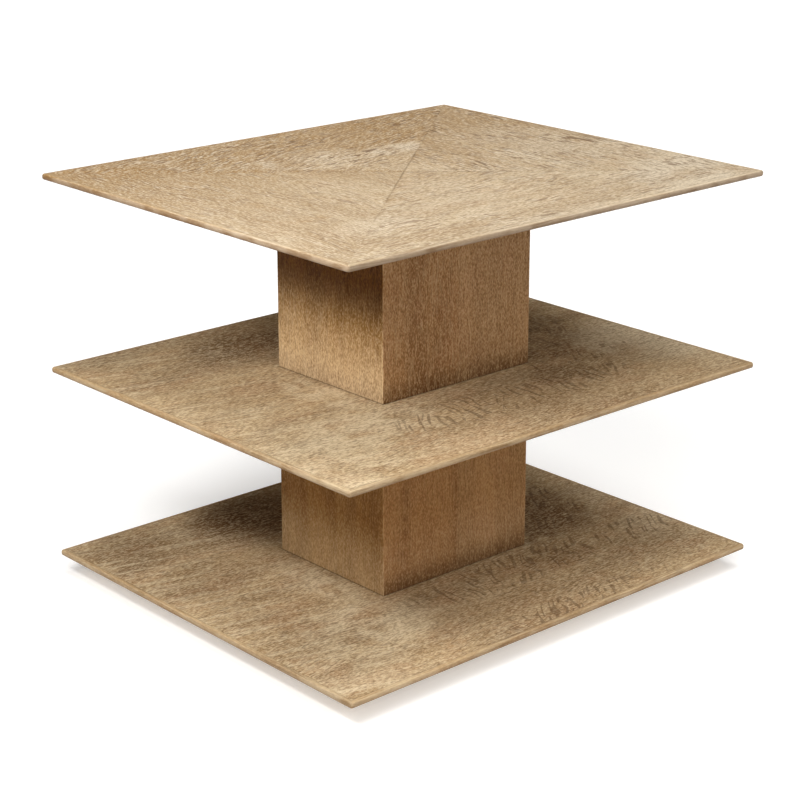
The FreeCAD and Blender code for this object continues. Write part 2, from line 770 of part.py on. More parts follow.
os.makedirs("parts", exist_ok=True)
for node in NODES:
    node.Shape.exportStep(f"parts/{node.Label}.step")
print(f"{len(NODES)} nodes written")
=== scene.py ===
"""Tiered side table in limed oak: its finishes, small fittings, studio and camera."""

import math
import bmesh
import bpy
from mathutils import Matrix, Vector


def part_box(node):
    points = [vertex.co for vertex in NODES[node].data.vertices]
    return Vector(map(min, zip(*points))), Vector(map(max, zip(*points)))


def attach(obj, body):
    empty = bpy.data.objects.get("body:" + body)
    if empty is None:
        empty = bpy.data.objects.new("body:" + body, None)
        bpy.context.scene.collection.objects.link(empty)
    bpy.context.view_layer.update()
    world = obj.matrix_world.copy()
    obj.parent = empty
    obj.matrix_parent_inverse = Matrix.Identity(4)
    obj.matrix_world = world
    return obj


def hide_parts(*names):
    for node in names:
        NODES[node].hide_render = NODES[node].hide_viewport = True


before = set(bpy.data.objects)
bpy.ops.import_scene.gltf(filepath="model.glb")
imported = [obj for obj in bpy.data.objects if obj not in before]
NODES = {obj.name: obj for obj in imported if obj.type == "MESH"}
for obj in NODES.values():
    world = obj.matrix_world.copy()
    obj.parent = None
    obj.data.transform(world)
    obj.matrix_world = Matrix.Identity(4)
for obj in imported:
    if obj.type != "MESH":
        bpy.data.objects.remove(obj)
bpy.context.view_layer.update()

MM = 0.001
MATH = "ShaderNodeMath"
SIDES = ("front", "right", "back", "left")
TIERS = ("bottom", "middle", "top")
SHELVES = ("middle", "bottom")
SEGMENTS = ("lower", "upper")

# Half sizes of a tier inside its lippings and of the column, the height that the lower segment
# stands at, and the rise from tier to tier, all in metres.
FIELD_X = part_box("top_core")[1].x
FIELD_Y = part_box("top_core")[1].y
COLUMN_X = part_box("upper_column_veneer_right")[1].x
COLUMN_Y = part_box("upper_column_veneer_back")[1].y
LOWER_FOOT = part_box("bottom_veneer")[1].z
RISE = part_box("middle_veneer")[1].z - LOWER_FOOT

# The width of a shelf's leaf in metres, a tier's edge and a hair's breadth in millimetres.
SHELF_LEAF = FIELD_Y / 2
EDGE_HEIGHT = 8
HAIR = 0.01

# Turns that lay the grain along an axis, or a little askew to the long side.
ALONG_X = (0, 0, 0)
ALONG_Y = (0, 0, math.radians(-90))
ALONG_Z = (0, math.radians(90), 0)
NEAR_X = (0, 0, math.radians(-14))


# ---------------------------------------------------------------- making a material

def paint(code):
    """The linear colour of an sRGB hex code."""
    channels = [int(code[i:i + 2], 16) / 255 for i in (1, 3, 5)]
    return [c / 12.92 if c <= 0.04045 else ((c + 0.055) / 1.055) ** 2.4 for c in channels] + [1]


def put(tree, kind, settings=None, wires=None):
    """Add a node with its settings, and give its inputs values, links or whole nodes.

    The inputs are a list in the node's own order, or a dictionary by name or number.
    """
    node = tree.nodes.new(kind)
    for name, setting in (settings or {}).items():
        setattr(node, name, setting)
    inputs = dict(enumerate(wires)) if isinstance(wires, list) else wires or {}
    for key, source in inputs.items():
        if isinstance(source, bpy.types.Node):
            source = source.outputs[0]
        if isinstance(source, bpy.types.NodeSocket):
            tree.links.new(source, node.inputs[key])
        else:
            node.inputs[key].default_value = source
    return node


def streaks(tree, place, length, width, detail=1.0, shift=(0, 0, 0)):
    """Cloudy streaks that run with the grain, length and width in millimetres.

    Their values stray to either side of 0.5. The shift moves a pattern away from the others of
    the same wood.
    """
    fineness = (1 / (length * MM), 1 / (width * MM), 1 / (width * MM))
    stretched = put(tree, "ShaderNodeVectorMath", {"operation": "MULTIPLY_ADD"}, [
        place, fineness, shift])
    return put(tree, "ShaderNodeTexNoise", {}, {
        "Vector": stretched, "Scale": 1.0, "Detail": detail, "Roughness": 0.55})


def swayed(tree, place, length, reach):
    """Places that drift sideways by up to reach millimetres, as grain does, over a length.

    Noise strays from its middle by a quarter, so the reach is taken four times.
    """
    drift = put(tree, "ShaderNodeTexNoise", {}, {
        "Vector": place, "Scale": 1 / (length * MM), "Detail": 1.0})
    level = put(tree, "ShaderNodeVectorMath", {"operation": "SUBTRACT"}, [
        drift.outputs["Color"], (0.5, 0.5, 0.5)])
    return put(tree, "ShaderNodeVectorMath", {"operation": "MULTIPLY_ADD"}, [
        level, (0, 4 * reach * MM, 4 * reach * MM), place])


def between(tree, value, low, high, bottom=0.0, top=1.0):
    """A soft step: bottom up to low, and top from high on."""
    return put(tree, "ShaderNodeMapRange", {"interpolation_type": "SMOOTHSTEP"}, {
        "Value": value, "From Min": low, "From Max": high, "To Min": bottom, "To Max": top})


def near(tree, distance, width):
    """1 on a line and 0 from width millimetres away."""
    either_way = put(tree, MATH, {"operation": "ABSOLUTE"}, [distance])
    return between(tree, either_way, 0.0, width * MM, 1.0, 0.0)


def coats(tree, ground, layers, way="MIX"):
    """Lay colours over each other. A layer is a mask, its strength and its colour.

    They cover what is below, or with the way MULTIPLY tint it and leave its pattern showing; the
    column's painted shadows are laid on that way.
    """
    colour = ground
    for mask, strength, tint in layers:
        cover = put(tree, MATH, {"operation": "MULTIPLY", "use_clamp": True}, [mask, strength])
        colour = put(tree, "ShaderNodeMix", {"data_type": "RGBA", "blend_type": way}, {
            0: cover, 6: colour, 7: tint}).outputs[2]
    return colour


def new_material(name):
    """A material with its node tree, its shader and the object's own coordinates."""
    material = bpy.data.materials.new(name)
    material.use_nodes = True
    tree = material.node_tree
    spot = put(tree, "ShaderNodeTexCoord").outputs["Object"]
    return material, tree, tree.nodes["Principled BSDF"], spot


def roughen(tree, shader, pattern, steps):
    """Let a pattern set the roughness: from where to where in it, and the two roughnesses."""
    tree.links.new(between(tree, pattern, *steps).outputs[0], shader.inputs["Roughness"])


def relief(tree, shader, height, strength, depth):
    """Raise the surface by a height pattern, depth in millimetres."""
    bump = put(tree, "ShaderNodeBump", {}, {
        "Strength": strength, "Distance": depth * MM, "Height": height})
    tree.links.new(bump.outputs[0], shader.inputs["Normal"])


# ---------------------------------------------------------------- marks on the oak
# A mark is a function of a material's tree and a place's three coordinates in metres. It gives
# a mask, 1 where the mark is full and 0 where there is none.

def from_middle(tree, x, y):
    """How far a place is from the table's middle, along X and along Y."""
    return [put(tree, MATH, {"operation": "ABSOLUTE"}, [way]) for way in (x, y)]


def outside(tree, x, y, half_x, half_y):
    """How far a place is outside a rectangle with these half sizes, along X and along Y."""
    return [put(tree, MATH, {"operation": "SUBTRACT"}, [reach, half])
            for reach, half in zip(from_middle(tree, x, y), (half_x, half_y))]


def off_seam(tree, from_x, from_y):
    """How far a place is beside the top's diagonal seams, from how far off the middle it is."""
    run = put(tree, MATH, {"operation": "MULTIPLY"}, [from_x, FIELD_Y / FIELD_X])
    return put(tree, MATH, {"operation": "SUBTRACT"}, [run, from_y])


def above(tree, z, drop):
    """How high a place is above a level that comes again at each tier.

    The level is drop millimetres under the tiers' top faces, and a hair lower, so that a place
    right on it counts as above it.
    """
    level = LOWER_FOOT - (drop + HAIR) * MM
    over = put(tree, MATH, {"operation": "SUBTRACT"}, [z, level])
    return put(tree, MATH, {"operation": "MODULO"}, [over, RISE])


def broken(tree, line, x, y, z, length):
    """A line that comes and goes over a length in millimetres."""
    place = put(tree, "ShaderNodeCombineXYZ", {}, [x, y, z])
    gaps = put(tree, "ShaderNodeTexNoise", {}, {
        "Vector": place, "Scale": 1 / (length * MM), "Detail": 1.0})
    return put(tree, MATH, {"operation": "MULTIPLY"}, [line, between(tree, gaps, 0.42, 0.6)])


def lipping_joint(tree, x, y, z):
    """The glue line between a tier's veneer and its lipping."""
    past = put(tree, MATH, {"operation": "MAXIMUM"}, outside(tree, x, y, FIELD_X, FIELD_Y))
    return near(tree, past, width=1.6)


def diagonal_joint(tree, x, y, z):
    """The seams of the top's four leaves, tight in the corners and a little open in the middle."""
    from_x, from_y = from_middle(tree, x, y)
    line = near(tree, off_seam(tree, from_x, from_y), width=2.8)
    out = put(tree, MATH, {"operation": "ADD"}, [from_x, from_y])
    unbroken = put(tree, MATH, {"operation": "MULTIPLY"}, [
        line, between(tree, out, 120 * MM, 240 * MM, 0.75, 0.0)])
    shown = put(tree, MATH, {"operation": "MAXIMUM"}, [
        broken(tree, line, x, y, z, length=35), unbroken])
    return put(tree, MATH, {"operation": "MULTIPLY"}, [
        shown, between(tree, out, 100 * MM, 340 * MM, 1.0, 0.5)])


def beside_seam(end, start):
    """The strip of a top leaf along one of its seams, darkened by the damp of the glue.

    An end of 1 is the seam to the back right corner, and -1 the one to the back left. The strip
    starts where x and y together come to start millimetres, counted towards that end.
    """
    strip_width, fade_in = 34, 25

    def mark(tree, x, y, z):
        strip = near(tree, off_seam(tree, *from_middle(tree, x, y)), strip_width)
        out = put(tree, MATH, {"operation": "ADD"}, [x, y])
        along = put(tree, MATH, {"operation": "MULTIPLY"}, [out, end])
        begun = between(tree, along, start * MM, (start + fade_in) * MM)
        return put(tree, MATH, {"operation": "MULTIPLY"}, [strip, begun])
    return mark


def shelf_joint(tree, x, y, z):
    """The seams of a shelf's parallel leaves, seen as a row of dark dashes."""
    off_joint = put(tree, MATH, {"operation": "PINGPONG"}, [y, SHELF_LEAF / 2])
    return broken(tree, near(tree, off_joint, width=2.0), x, y, z, length=14)


def painted_foot_shadow_line(tree, x, y, z):
    """A painted shadow line where a column segment stands on its shelf."""
    return near(tree, above(tree, z, drop=0), width=1.8)


def painted_foot_shade(tree, x, y, z):
    """Painted shade along the foot of a segment, where it meets its shelf, thinning out upwards.
    """
    return between(tree, above(tree, z, drop=0), 0.0, 34 * MM, 1.0, 0.0)


def painted_tier_shadow(start, full):
    """Painted shadow of the tier above: the upper part of a segment, darkened.

    It starts and is full at these heights in millimetres above the segment's foot.
    """
    def mark(tree, x, y, z):
        return between(tree, above(tree, z, drop=0), start * MM, full * MM)
    return mark


def painted_lower_light(tree, x, y, z):
    """Painted light: the lower part of a segment made paler, with the lime tone, towards its foot.
    """
    return between(tree, above(tree, z, drop=0), 10 * MM, 105 * MM, 1.0, 0.0)


def second_leaf(tree, x, y, z):
    """The right-hand one of the two book-matched leaves on the column's front, a little paler."""
    turn = put(tree, MATH, {"operation": "SUBTRACT"}, [x, y])
    return between(tree, turn, COLUMN_Y - 0.3 * MM, COLUMN_Y + 0.3 * MM)


def painted_nose_shade(tree, x, y, z):
    """Painted shade on a lipping's rounded nose, darker than its flat top."""
    return between(tree, above(tree, z, drop=EDGE_HEIGHT), 6.4 * MM, 7.9 * MM, 1.0, 0.0)


def painted_nose_foot_shade(tree, x, y, z):
    """Painted shade on the lower part of the nose, darker still."""
    return between(tree, above(tree, z, drop=EDGE_HEIGHT), 0.5 * MM, 6.5 * MM, 1.0, 0.0)


def column_shade(tree, x, y, z):
    """Painted shade on a shelf round the column's foot."""
    off = put(tree, MATH, {"operation": "MAXIMUM"}, outside(tree, x, y, COLUMN_X, COLUMN_Y))
    return between(tree, off, 0.0, 3.0 * MM, 1.0, 0.0)


def column_arris(tree, x, y, z):
    """The column's four corners, pale in places: rubbed by handling, and a painted highlight on
    the sharp arris.
    """
    corner = put(tree, MATH, {"operation": "MULTIPLY"}, [
        near(tree, off, width=2.2) for off in outside(tree, x, y, COLUMN_X, COLUMN_Y)])
    return broken(tree, corner, x, y, z, length=18)


def rim_wear_and_highlight(tree, x, y, z):
    """The outermost line of a lipping, pale in places: rubbed by handling, and a painted highlight
    on the round of the nose.
    """
    past_joint = 5 * MM
    off = put(tree, MATH, {"operation": "MAXIMUM"}, outside(
        tree, x, y, FIELD_X + past_joint, FIELD_Y + past_joint))
    return broken(tree, between(tree, off, -1.5 * MM, 0.5 * MM), x, y, z, length=40)


def painted_back_shade(tree, x, y, z):
    """Painted shade: the back of the top darker and yellower than its front."""
    return between(tree, y, -210 * MM, 320 * MM)


def painted_left_shade(tree, x, y, z):
    """Painted shade: the left end of the top, darker towards the left."""
    return between(tree, x, -390 * MM, 80 * MM, 1.0, 0.0)


def patch(x0, y0, half_length, half_width, texture=30):
    """A soft oval patch on a tier, for stains and for painted shade: its middle, half sizes and
    texture in millimetres.
    """
    def mark(tree, x, y, z):
        across, along = (
            put(tree, MATH, {"operation": "MULTIPLY_ADD"}, [way, 1 / (half * MM), -middle / half])
            for way, half, middle in ((x, half_length, x0), (y, half_width, y0)))
        across_squared = put(tree, MATH, {"operation": "MULTIPLY"}, [across, across])
        reach = put(tree, MATH, {"operation": "MULTIPLY_ADD"}, [along, along, across_squared])
        oval = between(tree, reach, 0.0, 1.0, 1.0, 0.0)
        place = put(tree, "ShaderNodeCombineXYZ", {}, [x, y, z])
        cloud = put(tree, "ShaderNodeTexNoise", {}, {
            "Vector": place, "Scale": 1 / (texture * MM), "Detail": 1.0})
        return put(tree, MATH, {"operation": "MULTIPLY"}, [oval, between(tree, cloud, 0.3, 0.55)])
    return mark


# The two kinds of ray fleck, long ones straight across the grain and short leaning ones: the
# length in millimetres, how far they lean, and from where to where in a noise they come up.
RAY_CURLS = ((84, -0.1, (0.53, 0.49)), (52, -0.6, (0.49, 0.53)))
CURL_WIDTH = 5.6


def ray_flecks(rows):
    """Dark curls across the grain, where a leaf was sliced along the oak's rays.

    They lie in rows that run with the grain. A row is its middle and half sizes in millimetres.
    """
    def mark(tree, x, y, z):
        flat = put(tree, "ShaderNodeCombineXYZ", {}, [x, y, z])
        kind = put(tree, "ShaderNodeTexNoise", {}, {
            "Vector": flat, "Scale": 1 / (95 * MM), "Detail": 0.0})
        curls = []
        for length, lean, shown in RAY_CURLS:
            leaning = put(tree, MATH, {"operation": "MULTIPLY_ADD"}, [y, lean, x])
            place = put(tree, "ShaderNodeCombineXYZ", {}, [y, leaning, z])
            curled = streaks(tree, swayed(tree, place, length=45, reach=6), length, CURL_WIDTH,
                             detail=0.0, shift=(5, 2, 7))
            curls.append(put(tree, MATH, {"operation": "MULTIPLY"}, [
                between(tree, curled, 0.58, 0.63), between(tree, kind, *shown)]))
        drawn = put(tree, MATH, {"operation": "MAXIMUM"}, curls)
        likely, *others = [patch(*row, texture=60)(tree, x, y, z) for row in rows]
        for other in others:
            likely = put(tree, MATH, {"operation": "MAXIMUM"}, [likely, other])
        return put(tree, MATH, {"operation": "MULTIPLY"}, [
            drawn, between(tree, likely, 0.0, 0.45)])
    return mark


def slanting_lime(tree, x, y, z):
    """Pale streaks of lime that were wiped at a slant across the left end of a shelf."""
    place = put(tree, "ShaderNodeCombineXYZ", {}, [x, y, z])
    turned = put(tree, "ShaderNodeMapping", {}, {
        "Vector": place, "Rotation": (0, 0, math.radians(15))})
    wiped = streaks(tree, turned, 150, 8, detail=1.5, shift=(7, 1, 4))
    return put(tree, MATH, {"operation": "MULTIPLY"}, [
        between(tree, wiped, 0.5, 0.68), between(tree, x, -320 * MM, 0.0, 1.0, 0.0)])


# ---------------------------------------------------------------- oak

# Where in its noise a pore begins and is fully open.
PORE_OPENS = (0.555, 0.63)


def limed_oak(name, turn, shift, wood, cut, underlays=(), marks=(), shadow_tints=()):
    """Oak, sliced or sawn, wire-brushed, rubbed with pale lime wax and lacquered matt.

    The eye sees soft bands of growth rings, and over them short dashes that run with the grain:
    dark ones where a pore is open, and pale ones beside them where it is filled with lime. Real
    pores are 0.3 mm wide, so they are drawn several times as coarse to show. Underlays lie under
    the pores and marks over them, and tints multiply it all. Some underlays and marks are painted
    light and shade, and the tints are painted shadow. Each is a function that gives a mask, its
    strength and the name of its colour in the wood. The shift is where in the log it was cut.
    """
    material, tree, shader, spot = new_material(name)
    place = put(tree, "ShaderNodeMapping", {}, {
        "Vector": spot, "Rotation": turn, "Location": shift})
    flow = swayed(tree, place, cut["sway_length"], cut["sway"])

    pore_size = (cut["pore_length"], cut["pore_width"])
    bands = streaks(tree, flow, 420, cut["band"], detail=2.0)
    rings = streaks(tree, flow, 160, cut["ring"], detail=2.0, shift=(4, 9, 2))
    clouds = streaks(tree, flow, 130, 60, detail=2.0, shift=(1, 7, 3))
    haze = streaks(tree, flow, 110, 75, shift=(9, 3, 5))
    blush = streaks(tree, flow, 70, 40, shift=(2, 8, 4))
    pores = streaks(tree, flow, *pore_size, detail=0.4, shift=(3, 5, 8))
    limed = streaks(tree, flow, *pore_size, detail=0.4, shift=(3, 5.4, 8.4))
    speck = streaks(tree, place, cut["speck_length"], cut["speck_width"], shift=(2, 2, 6))
    thick = between(tree, streaks(tree, flow, 120, 70, shift=(6, 1, 9)), 0.35, 0.65, 0.5, 1.15)

    tones = {tone: paint(code) for tone, code in wood.items()}
    ground = put(tree, "ShaderNodeMix", {"data_type": "RGBA"}, {
        0: between(tree, bands, 0.35, 0.65), 6: tones["dark"], 7: tones["light"]}).outputs[2]
    open_pore = between(tree, pores, *PORE_OPENS)
    pore_mask, lime_mask = (
        put(tree, MATH, {"operation": "MULTIPLY"}, [dashes, thick])
        for dashes in (open_pore, between(tree, limed, *PORE_OPENS)))
    axes = put(tree, "ShaderNodeSeparateXYZ", {}, [spot]).outputs[:3]
    laid_under, marked, shadow_tinted = (
        [(mask(tree, *axes), strength, tones[tone]) for mask, strength, tone in given]
        for given in (underlays, marks, shadow_tints))
    layers = [
        (between(tree, rings, 0.45, 0.7), cut["ring_strength"], tones["ring"]),
        (between(tree, clouds, 0.5, 0.75), cut["cloud_strength"], tones["cloud"]),
        (between(tree, haze, 0.5, 0.72), cut["haze_strength"], tones["lime"]),
        (between(tree, blush, 0.48, 0.66), cut["blush_strength"], tones["blush"]),
        *laid_under,
        (between(tree, speck, 0.5, 0.68), cut["speck_strength"], tones["pore"]),
        (between(tree, speck, 0.5, 0.32), cut["speck_strength"], tones["lime"]),
        (lime_mask, cut["lime_strength"], tones["lime"]),
        (pore_mask, cut["pore_strength"], tones["pore"]),
        *marked,
    ]
    colour = coats(tree, coats(tree, ground, layers), shadow_tinted, "MULTIPLY")
    tree.links.new(colour, shader.inputs["Base Color"])

    roughen(tree, shader, pores, (0.4, 0.7, 0.58, 0.76))
    shader.inputs["IOR"].default_value = 1.5
    shader.inputs["Specular IOR Level"].default_value = cut["gloss"]
    sunk = put(tree, MATH, {"operation": "MULTIPLY"}, [open_pore, -1.0])
    height = put(tree, MATH, {"operation": "MULTIPLY_ADD"}, [speck, -0.3, sunk])
    relief(tree, shader, height, cut["relief"], depth=0.5)
    return material


# ---------------------------------------------------------------- the oak of each place
# A wood has the dark and light of its growth bands, and a tone for every layer, stain and mark.
# Some tones are painted shade: shade, worn on the top's left end, glue where it darkens the
# column's foot, and the column's foot and head tints.

TOP_WOOD = {"dark": "#b9a180", "light": "#cdb898", "ring": "#ac9370", "cloud": "#a88a62",
            "pore": "#6c5138", "lime": "#e2d4bc", "blush": "#c2a07c", "glue": "#6e5638",
            "shade": "#553510", "amber_brown": "#98733e", "worn": "#786040"}
SHELF_WOOD = {"dark": "#987e5c", "light": "#af946e", "ring": "#8f7550", "cloud": "#8a6c47",
              "pore": "#573d23", "lime": "#d9c8a7", "blush": "#a67c58", "glue": "#54402a",
              "shade": "#563406", "haze": "#c4b295"}
# Lighter than the wide faces' oak: partly the leaves' own tones, partly painted light on the
# sides.
NARROW_WOOD = {"dark": "#96703f", "light": "#ad8652", "ring": "#896235", "cloud": "#83592d",
               "pore": "#573815", "lime": "#e4c8a0", "blush": "#a5764a", "glue": "#2f1e10",
               "foot_shade": "#7d6a58", "lower_shadow_tint": "#cebda2", "upper_shadow_tint": "#8f7238"}
WIDE_WOOD = {"dark": "#8b6540", "light": "#a1784f", "ring": "#815a39", "cloud": "#785231",
             "pore": "#4b2f13", "lime": "#cba97e", "blush": "#9c6c4d", "glue": "#2f1e10",
             "foot_shade": "#4b2f13", "lower_shadow_tint": "#e9dfcc"}

# A cut has the sizes of the grain in millimetres and how strongly each layer of it shows, how
# deep the wire brush went, and how much the lacquer shines.
TOP_CUT = {"sway_length": 120, "sway": 7, "band": 60, "ring": 12, "ring_strength": 0.3,
           "cloud_strength": 0.2, "haze_strength": 0.12, "blush_strength": 0.15,
           "pore_length": 32, "pore_width": 2.6, "pore_strength": 0.5, "lime_strength": 0.4,
           "speck_length": 6, "speck_width": 1.9, "speck_strength": 0.46, "relief": 0.6,
           "gloss": 0.25}
FIGURED_CUT = dict(TOP_CUT, pore_length=24, pore_width=2.8, pore_strength=0.7,
                   lime_strength=0.5, speck_strength=0.52)
LEFT_CUT = dict(TOP_CUT, pore_length=30, pore_width=2.3, pore_strength=0.4, lime_strength=0.3,
                speck_width=1.7, speck_strength=0.42)
SHELF_CUT = dict(TOP_CUT, blush_strength=0.25, pore_length=13, pore_width=2.7,
                 pore_strength=0.32, lime_strength=0.3, speck_length=4.5, speck_width=2.0,
                 speck_strength=0.48)
LIPPING_CUT = dict(TOP_CUT, sway=2, ring=5, pore_length=60, pore_width=2.6, pore_strength=0.3,
                   lime_strength=0.25, speck_strength=0.2, relief=0.2)
UPPER_CUT = dict(TOP_CUT, sway=1, band=40, ring=8, ring_strength=0.2, haze_strength=0.1,
                 pore_length=24, pore_width=1.9, pore_strength=0.2, lime_strength=0.24,
                 speck_length=3.6, speck_width=1.6, speck_strength=0.42, relief=0.4, gloss=0.1)
LOWER_CUT = dict(UPPER_CUT, pore_strength=0.14, lime_strength=0.16, speck_strength=0.32)

# The stains and painted shade of the whole top, and the cut and own stains of each of its leaves.
# The back, the left end and the far left corner of the top are painted darker, as shade. A stain
# is a mark, its strength and its tone in the wood.
TOP_STAINS_AND_SHADE = [
    (painted_back_shade, 0.74, "amber_brown"),
    (painted_left_shade, 0.42, "worn"),
    (patch(130, 205, 110, 90, 60), 0.35, "amber_brown"),
    (patch(-215, -190, 80, 50, 60), 0.25, "lime"),
    (patch(110, -315, 400, 60, 120), 0.35, "lime"),
    (patch(-130, -92, 60, 40, 60), 0.35, "cloud"),
    # Painted shade: the far left corner of the top darker.
    (patch(-320, 260, 120, 70, 90), 0.35, "amber_brown"),
    (patch(90, 170, 90, 60, 90), 0.2, "amber_brown"),
    (patch(330, 90, 60, 70, 90), 0.22, "amber_brown")]
TOP_LEAVES = {
    "front": (TOP_CUT, [
        (patch(60, -40, 90, 60), 0.2, "amber_brown"),
        (patch(110, -180, 80, 45, 60), 0.35, "cloud"),
        (patch(300, -235, 140, 85, 90), 0.65, "lime")]),
    "right": (FIGURED_CUT, [
        (beside_seam(end=1, start=55), 0.45, "cloud"),
        (patch(245, -62, 34, 16, 12), 0.3, "pore"),
        (patch(265, 0, 120, 170, 90), 0.25, "lime"),
        (patch(300, -205, 90, 75, 90), 0.5, "lime"),
        (patch(335, 190, 50, 80, 60), 0.2, "lime")]),
    "back": (FIGURED_CUT, [
        (patch(-50, 130, 110, 70, 60), 0.3, "lime"),
        (beside_seam(end=-1, start=-40), 0.5, "amber_brown"),
        (patch(88, 112, 70, 40, 60), 0.5, "lime"),
        (patch(-111, 152, 34, 26), 0.25, "lime"),
        (patch(130, 262, 210, 50, 60), 0.35, "amber_brown")]),
    "left": (LEFT_CUT, [
        (patch(-250, -118, 40, 14), 0.55, "cloud"),
        (patch(-259, -18, 26, 16), 0.45, "cloud")])}

# The stains that both shelves have, and those of either alone. The patches in the shade tone
# are painted shadows of the column and of the tier above.
SHELF_STAINS_AND_SHADOWS = [
    (patch(-195, -160, 120, 90, 45), 0.55, "lime"),
    (patch(-320, -265, 120, 110, 45), 0.3, "lime"),
    (patch(-160, -20, 40, 110, 30), 0.5, "lime"),
    (patch(-95, 205, 150, 100, 120), 0.75, "shade"),
    (patch(218, -40, 80, 115, 90), 0.62, "shade"),
    (patch(165, -90, 62, 36, 20), 0.62, "shade"),
    (patch(130, -165, 75, 50, 60), 0.32, "shade"),
    (patch(10, -255, 130, 70, 60), 0.4, "cloud")]
TIER_STAINS_AND_SHADOWS = {
    "middle": [
        (patch(-330, 270, 90, 90, 60), 0.1, "shade"),
        (patch(-325, -190, 90, 90, 60), 0.35, "lime"),
        (patch(-330, -30, 70, 110, 60), 0.2, "lime"),
        (patch(320, -130, 110, 130, 90), 0.7, "haze"),
        (patch(340, -140, 70, 150, 90), 0.25, "lime"),
        (patch(130, -165, 75, 50, 60), 0.2, "shade"),
        (patch(75, -270, 190, 55, 90), 0.18, "shade")],
    "bottom": [
        (patch(-330, 240, 140, 120, 60), 0.4, "shade"),
        (patch(-320, -265, 90, 60, 90), 0.15, "cloud"),
        (patch(-225, -170, 70, 50, 60), 0.25, "lime"),
        (patch(-290, 90, 110, 80, 60), 0.2, "shade"),
        (patch(-80, 225, 125, 95, 200), 0.9, "shade"),
        (patch(245, -30, 80, 90, 90), 0.33, "shade"),
        (patch(345, -60, 60, 110, 90), 0.3, "haze"),
        (patch(330, -170, 80, 70, 90), 0.3, "haze")]}

# The rows of ray flecks on each shelf: a middle and half sizes in millimetres.
FLECK_ROWS = {
    "middle": [(20, -188, 250, 55), (190, -130, 130, 30), (225, 10, 100, 110)],
    "bottom": [(60, -155, 260, 50), (70, -284, 190, 34), (285, -165, 90, 40),
               (225, 0, 100, 110)]}

# The cut of each column segment, and the stains, painted light and painted shade of its narrow
# and of its wide faces: a paler lower part is painted light, a darker foot and head painted shade.
SEGMENT_CUTS = {"lower": LOWER_CUT, "upper": UPPER_CUT}
# Painted shadow: the head of each segment, under the tier above, tinted darker.
LOWER_HEAD_SHADOW = [(painted_tier_shadow(start=25, full=108), 1.0, "lower_shadow_tint")]
UPPER_HEAD_SHADOW = [(painted_tier_shadow(start=74, full=156), 1.0, "upper_shadow_tint")]
NARROW_FACES = {
    "lower": ([(painted_lower_light, 0.25, "lime")], LOWER_HEAD_SHADOW),
    "upper": ([(painted_lower_light, 0.45, "lime"), (painted_foot_shade, 0.3, "foot_shade")], UPPER_HEAD_SHADOW)}
WIDE_STAINS_AND_SHADE = [(second_leaf, 0.18, "lime"), (painted_foot_shade, 0.65, "foot_shade")]
WIDE_FACES = {"lower": (WIDE_STAINS_AND_SHADE, LOWER_HEAD_SHADOW), "upper": (WIDE_STAINS_AND_SHADE, [])}

# Which way the grain runs on a lipping, and on a leaf of the top.
LIPPING_GRAIN = {"front": ALONG_X, "right": ALONG_Y, "back": ALONG_X, "left": ALONG_Y}
LEAF_GRAIN = dict(LIPPING_GRAIN, back=NEAR_X)

GLUE_LINE = (lipping_joint, 0.15, "glue")


def nose_marks(all_round, at_foot):
    """What shows on a lipping: painted shade on its nose, this dark all round and again at its
    foot, with its glue line and its rim.
    """
    return [(painted_nose_shade, all_round, "shade"), (painted_nose_foot_shade, at_foot, "shade"), GLUE_LINE,
            (rim_wear_and_highlight, 0.12, "lime")]


def dress(node, material):
    """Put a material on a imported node."""
    for place in NODES[node].material_slots:
        place.material = material


def finish_top():
    """Four leaves that meet in one point, and the lippings round them."""
    for i, side in enumerate(SIDES):
        log_place = (0.31 * i, 0.17 * i, 0)
        cut, underlays = TOP_LEAVES[side]
        dress(f"top_veneer_{side}", limed_oak(
            f"limed_oak_top_leaf_{side}", LEAF_GRAIN[side], log_place, TOP_WOOD, cut,
            TOP_STAINS_AND_SHADE + underlays, [(diagonal_joint, 0.64, "glue"), GLUE_LINE]))
        dress(f"top_lipping_{side}", limed_oak(
            f"limed_oak_top_lipping_{side}", LIPPING_GRAIN[side], log_place, TOP_WOOD,
            LIPPING_CUT, TOP_STAINS_AND_SHADE, nose_marks(all_round=0.6, at_foot=0.66)))


def finish_shelves():
    """Parallel leaves and their lippings, and the plain backing under all three tiers."""
    for i, tier in enumerate(SHELVES):
        # The column shade on a shelf is painted shade round the column's foot, in the glue tone.
        dress(f"{tier}_veneer", limed_oak(
            f"limed_oak_shelf_{tier}", ALONG_X, (0.5 * i, 0.7 * i, 0), SHELF_WOOD, SHELF_CUT,
            SHELF_STAINS_AND_SHADOWS + TIER_STAINS_AND_SHADOWS[tier] + [(slanting_lime, 0.4, "lime")],
            [(ray_flecks(FLECK_ROWS[tier]), 0.52, "pore"), (shelf_joint, 0.4, "glue"),
             (column_shade, 0.5, "glue"), GLUE_LINE]))
    for i, side in enumerate(SIDES):
        strip = limed_oak(
            f"limed_oak_shelf_lipping_{side}", LIPPING_GRAIN[side], (0.27 * i, 0.19 * i, 0.3),
            SHELF_WOOD, LIPPING_CUT, SHELF_STAINS_AND_SHADOWS, nose_marks(all_round=0.36, at_foot=0.5))
        for tier in SHELVES:
            dress(f"{tier}_lipping_{side}", strip)
    backing = limed_oak("oak_backing_veneer", ALONG_X, (0.9, 0.4, 0), SHELF_WOOD, SHELF_CUT)
    for tier in TIERS:
        dress(f"{tier}_underside_veneer", backing)


